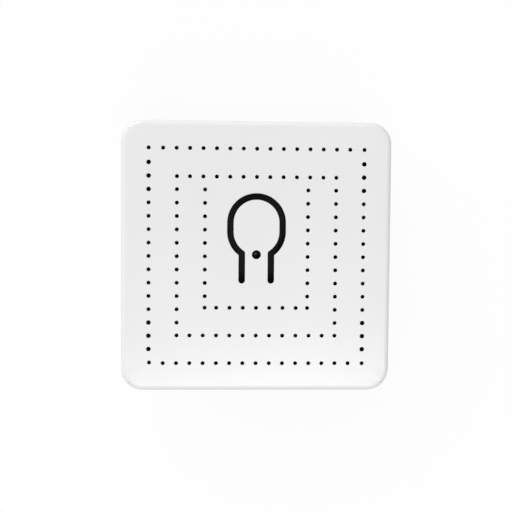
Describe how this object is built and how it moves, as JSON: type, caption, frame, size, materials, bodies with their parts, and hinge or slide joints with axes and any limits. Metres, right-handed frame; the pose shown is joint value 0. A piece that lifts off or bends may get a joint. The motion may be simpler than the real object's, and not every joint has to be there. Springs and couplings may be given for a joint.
{
  "type": "smart relay module",
  "caption": "Square white in-wall relay module with nested rings of vent holes, a keyhole push tab, a status light hole and screw clamps along one edge.",
  "frame": {"origin": "middle of the label face, which rests on Z = 0", "axes": "+Z from the label face to the button face, wires enter from -Y, +X to the right for someone who looks at the button face with the wire entries below"},
  "size_m": [0.0392, 0.0392, 0.018],
  "materials": {
    "white_shell": "fine satin moulded flame retardant plastic",
    "label_film": "blank matt film",
    "board_black": "solder resist over glass epoxy",
    "tinned_steel": "tinned sheet",
    "chip_black": "moulded epoxy",
    "plunger_black": "moulded nylon",
    "spring_steel": "spring sheet",
    "light_lens": "clear epoxy over phosphor",
    "relay_black": "moulded polyester",
    "bobbin_resin": "moulded polyester",
    "copper_wire": "enamelled wire",
    "soft_iron": "plated soft iron",
    "contact_bronze": "bronze strip with tinned legs",
    "capacitor_sleeve": "shrink sleeve over an aluminium can",
    "ferrite": "sintered ferrite",
    "resistor_coat": "lacquer coat",
    "varistor_coat": "dipped epoxy",
    "ceramic_tan": "ceramic",
    "terminal_grey": "moulded polyamide",
    "zinc_steel": "zinc plated"
  },
  "bodies": {
    "root": {"front_cover": "white_shell", "base_shell": "white_shell", "back_label": "label_film", "circuit_board": "board_black", "radio_board": "board_black", "radio_can": "tinned_steel", "radio_chip": "chip_black", "switch_base": "chip_black", "switch_frame": "tinned_steel", "switch_dome": "spring_steel", "status_led": "light_lens", "relay_case": "relay_black", "relay_base": "relay_black", "relay_bobbin": "bobbin_resin", "relay_winding": "copper_wire", "relay_core": "soft_iron", "relay_yoke": "soft_iron", "relay_fixed_contact": "contact_bronze", "relay_hinge_spring": "contact_bronze", "relay_coil_pins": "tinned_steel", "bulk_capacitor": "capacitor_sleeve", "output_capacitor": "capacitor_sleeve", "choke_core": "ferrite", "choke_winding": "copper_wire", "fuse_resistor": "resistor_coat", "varistor": "varistor_coat", "bridge_rectifier": "chip_black", "supply_chip": "chip_black", "driver_transistor": "chip_black", "chip_resistors": "chip_black", "chip_capacitors": "ceramic_tan", "terminal_housing": "terminal_grey", "terminal_tags": "contact_bronze"},
    "tab": {"push_tab": "white_shell"},
    "plunger": {"switch_plunger": "plunger_black"},
    "armature": {"relay_armature": "soft_iron", "relay_blade": "contact_bronze"},
    "screw_1": {"clamp_screw_1": "zinc_steel"},
    "cage_1": {"clamp_cage_1": "zinc_steel"},
    "screw_2": {"clamp_screw_2": "zinc_steel"},
    "cage_2": {"clamp_cage_2": "zinc_steel"},
    "screw_3": {"clamp_screw_3": "zinc_steel"},
    "cage_3": {"clamp_cage_3": "zinc_steel"},
    "screw_4": {"clamp_screw_4": "zinc_steel"},
    "cage_4": {"clamp_cage_4": "zinc_steel"},
    "screw_5": {"clamp_screw_5": "zinc_steel"},
    "cage_5": {"clamp_cage_5": "zinc_steel"}
  },
  "joints": [
    {"name": "tab_press", "type": "hinge", "parent": "root", "child": "tab", "pos_m": [0, -0.00345, 0.0168], "axis": [-1, 0, 0], "range_deg": [0, 2.2], "stiffness_Nm_per_rad": 0.005},
    {"name": "plunger_press", "type": "slide", "parent": "root", "child": "plunger", "axis": [0, 0, -1], "range_m": [0, 0.000297], "stiffness_N_per_m": 50, "deforming": ["switch_dome"]},
    {"name": "armature_pull", "type": "hinge", "parent": "root", "child": "armature", "pos_m": [0.00063, 0.0104, 0.0048], "axis": [0, -1, 0], "range_deg": [0, 3.4], "stiffness_Nm_per_rad": 0.02, "springref_deg": -1.15},
    {"name": "screw_1_turn", "type": "hinge", "parent": "root", "child": "screw_1", "pos_m": [-0.0136, -0.0151, 0.0024], "axis": [0, 0, 1], "range_deg": [0, 1400]},
    {"name": "cage_1_rise", "type": "slide", "parent": "root", "child": "cage_1", "axis": [0, 0, -1], "range_m": [0, 0.00194]},
    {"name": "screw_2_turn", "type": "hinge", "parent": "root", "child": "screw_2", "pos_m": [-0.0068, -0.0151, 0.0024], "axis": [0, 0, 1], "range_deg": [0, 1400]},
    {"name": "cage_2_rise", "type": "slide", "parent": "root", "child": "cage_2", "axis": [0, 0, -1], "range_m": [0, 0.00194]},
    {"name": "screw_3_turn", "type": "hinge", "parent": "root", "child": "screw_3", "pos_m": [0, -0.0151, 0.0024], "axis": [0, 0, 1], "range_deg": [0, 1400]},
    {"name": "cage_3_rise", "type": "slide", "parent": "root", "child": "cage_3", "axis": [0, 0, -1], "range_m": [0, 0.00194]},
    {"name": "screw_4_turn", "type": "hinge", "parent": "root", "child": "screw_4", "pos_m": [0.0068, -0.0151, 0.0024], "axis": [0, 0, 1], "range_deg": [0, 1400]},
    {"name": "cage_4_rise", "type": "slide", "parent": "root", "child": "cage_4", "axis": [0, 0, -1], "range_m": [0, 0.00194]},
    {"name": "screw_5_turn", "type": "hinge", "parent": "root", "child": "screw_5", "pos_m": [0.0136, -0.0151, 0.0024], "axis": [0, 0, 1], "range_deg": [0, 1400]},
    {"name": "cage_5_rise", "type": "slide", "parent": "root", "child": "cage_5", "axis": [0, 0, -1], "range_m": [0, 0.00194]}
  ],
  "couplings": [
    {"joint": "tab_press", "follows": "plunger_press", "rad_per_m": 128.98},
    {"joint": "screw_1_turn", "follows": "cage_1_rise", "rad_per_m": 12566},
    {"joint": "screw_2_turn", "follows": "cage_2_rise", "rad_per_m": 12566},
    {"joint": "screw_3_turn", "follows": "cage_3_rise", "rad_per_m": 12566},
    {"joint": "screw_4_turn", "follows": "cage_4_rise", "rad_per_m": 12566},
    {"joint": "screw_5_turn", "follows": "cage_5_rise", "rad_per_m": 12566}
  ]
}
